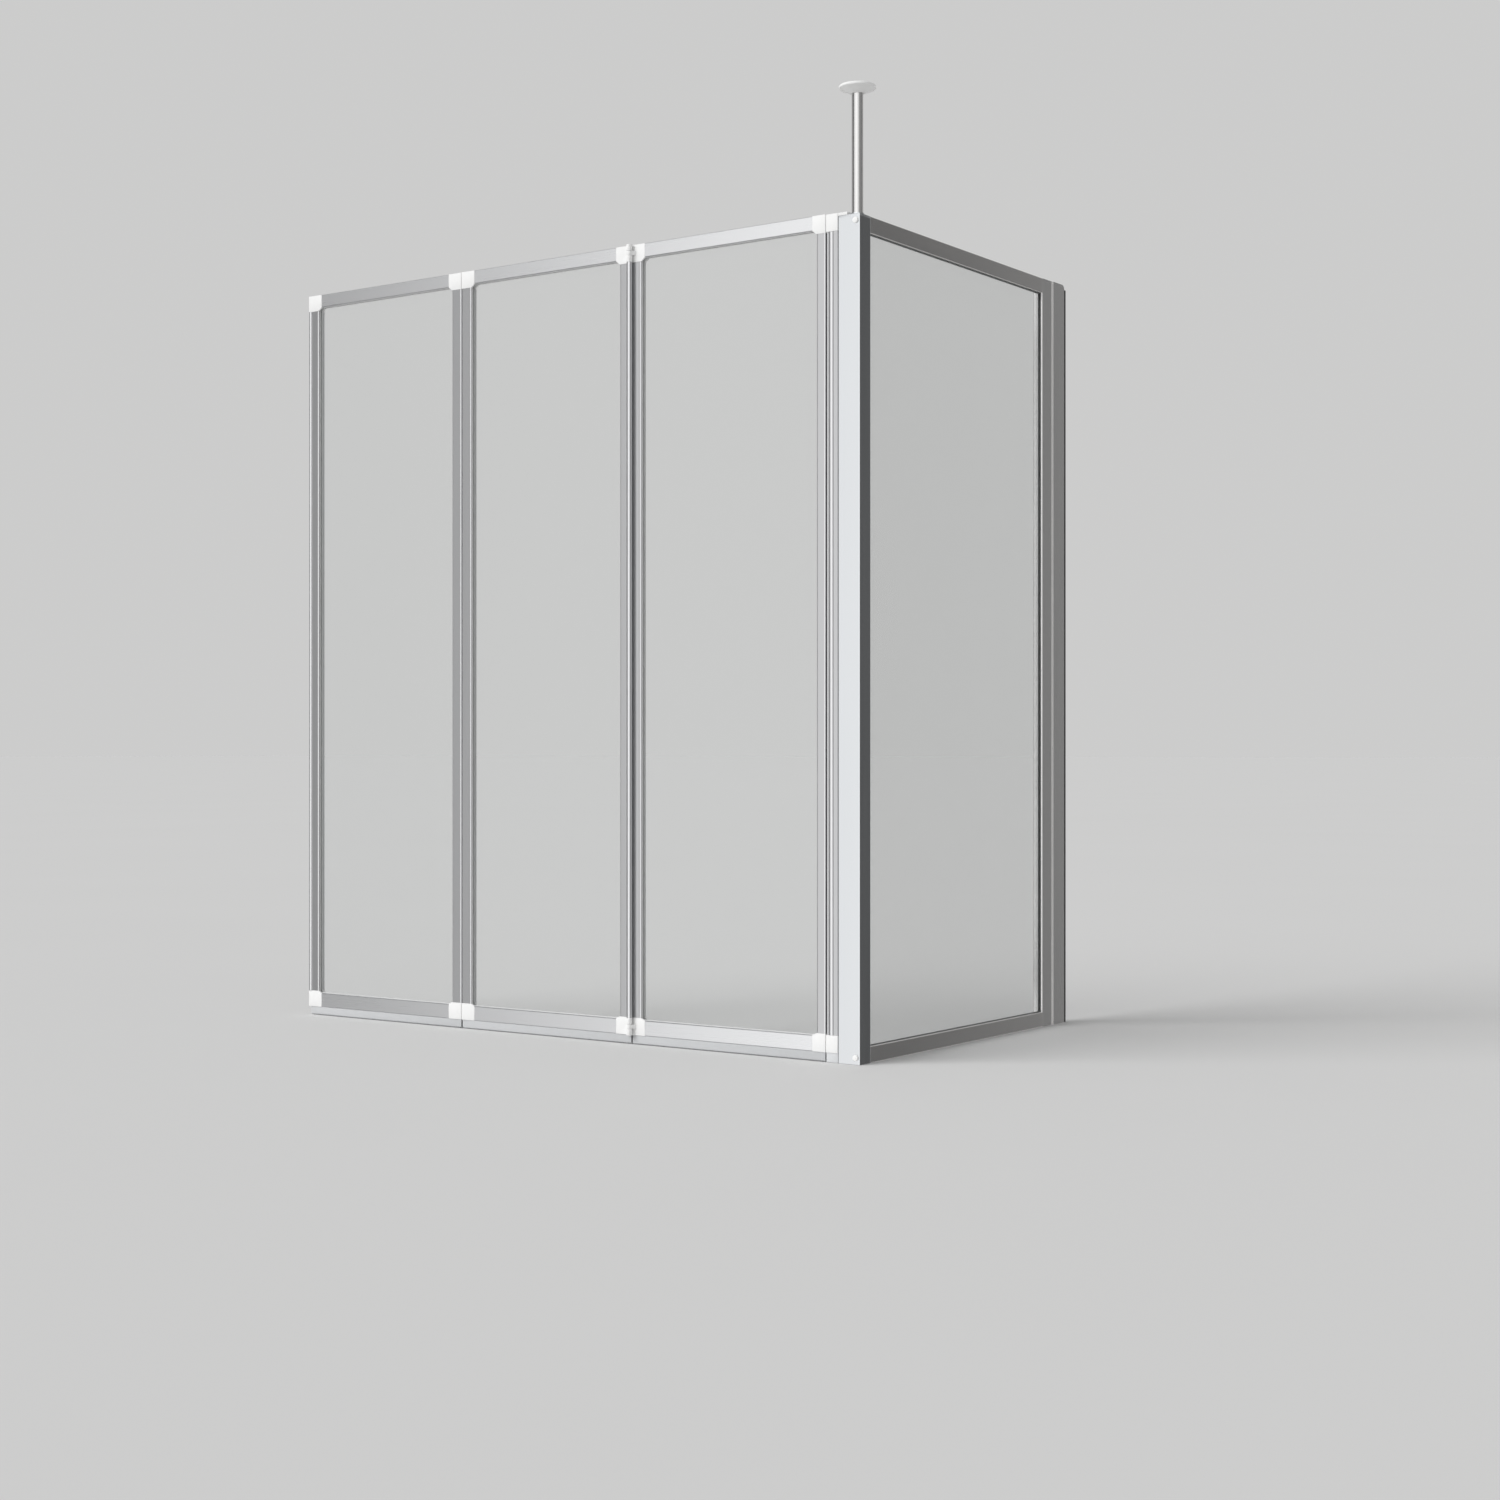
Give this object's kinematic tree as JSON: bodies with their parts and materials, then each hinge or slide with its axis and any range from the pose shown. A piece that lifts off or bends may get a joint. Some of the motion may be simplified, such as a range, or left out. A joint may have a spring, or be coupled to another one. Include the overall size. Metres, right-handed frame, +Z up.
{
  "type": "folding bath screen",
  "caption": "Bath screen of three clear hinged leaves and a fixed side panel on a corner post, with a strut up to the ceiling.",
  "frame": {"origin": "centre of the corner post's foot, on the bath rim", "axes": "+X to the right along the closed leaves, +Y inwards from the leaves to the wall that the side panel meets, +Z up"},
  "size_m": [1.2837, 0.7407, 1.609],
  "materials": {
    "aluminium": "satin silver anodised",
    "strut": "bright anodised tube",
    "white_plastic": "white, slightly glossy",
    "grey_plastic": "light grey, smooth",
    "glass": "clear safety glass",
    "dark_seal": "dark grey glazing strip",
    "light_seal": "light grey glazing strip",
    "black_seal": "black foam strip",
    "steel": "stainless steel"
  },
  "bodies": {
    "fixed_side": {"corner_post": "aluminium", "post_cap": "aluminium", "post_foot": "grey_plastic", "post_screws": "steel", "post_screw_covers": "white_plastic", "hinge_profile": "aluminium", "hinge_top_cap": "white_plastic", "hinge_bottom_cap": "white_plastic", "hinge_foot_seal": "grey_plastic", "side_pane": "glass", "side_top_rail": "aluminium", "side_bottom_rail": "aluminium", "side_stile": "aluminium", "side_gasket": "dark_seal", "wall_profile": "aluminium", "wall_seal": "black_seal", "lock_screws": "steel", "strut_tube": "strut", "strut_grub_screws": "steel", "ceiling_base": "aluminium", "ceiling_cover": "white_plastic"},
    "near_leaf": {"near_pane": "glass", "near_right_stile": "aluminium", "near_left_stile": "aluminium", "near_top_rail": "aluminium", "near_bottom_rail": "aluminium", "near_gasket": "light_seal", "near_top_right_corner": "white_plastic", "near_top_left_corner": "white_plastic", "near_bottom_right_corner": "white_plastic", "near_bottom_left_corner": "white_plastic", "near_drip_strip": "grey_plastic", "near_screws": "steel", "post_hinge_pins": "steel"},
    "middle_leaf": {"middle_pane": "glass", "middle_right_stile": "aluminium", "middle_left_stile": "aluminium", "middle_top_rail": "aluminium", "middle_bottom_rail": "aluminium", "middle_gasket": "light_seal", "middle_top_right_corner": "white_plastic", "middle_top_left_corner": "white_plastic", "middle_bottom_right_corner": "white_plastic", "middle_bottom_left_corner": "white_plastic", "middle_drip_strip": "grey_plastic", "middle_screws": "steel", "middle_hinge_pins": "steel"},
    "end_leaf": {"end_pane": "glass", "end_right_stile": "aluminium", "end_left_stile": "aluminium", "end_top_rail": "aluminium", "end_bottom_rail": "aluminium", "end_gasket": "light_seal", "end_top_right_corner": "white_plastic", "end_top_left_corner": "white_plastic", "end_bottom_right_corner": "white_plastic", "end_bottom_left_corner": "white_plastic", "end_drip_strip": "grey_plastic", "end_screws": "steel", "end_hinge_pins": "steel"}
  },
  "joints": [
    {"name": "post_hinge", "type": "hinge", "parent": "fixed_side", "child": "near_leaf", "pos_m": [-0.045, 0.0135, 0.708], "axis": [0, 0, -1], "range_deg": [0, 90]},
    {"name": "middle_hinge", "type": "hinge", "parent": "near_leaf", "child": "middle_leaf", "pos_m": [-0.451, -0.0235, 0.708], "axis": [0, 0, 1], "range_deg": [0, 180]},
    {"name": "end_hinge", "type": "hinge", "parent": "middle_leaf", "child": "end_leaf", "pos_m": [-0.85, 0.0135, 0.708], "axis": [0, 0, -1], "range_deg": [0, 180]}
  ]
}
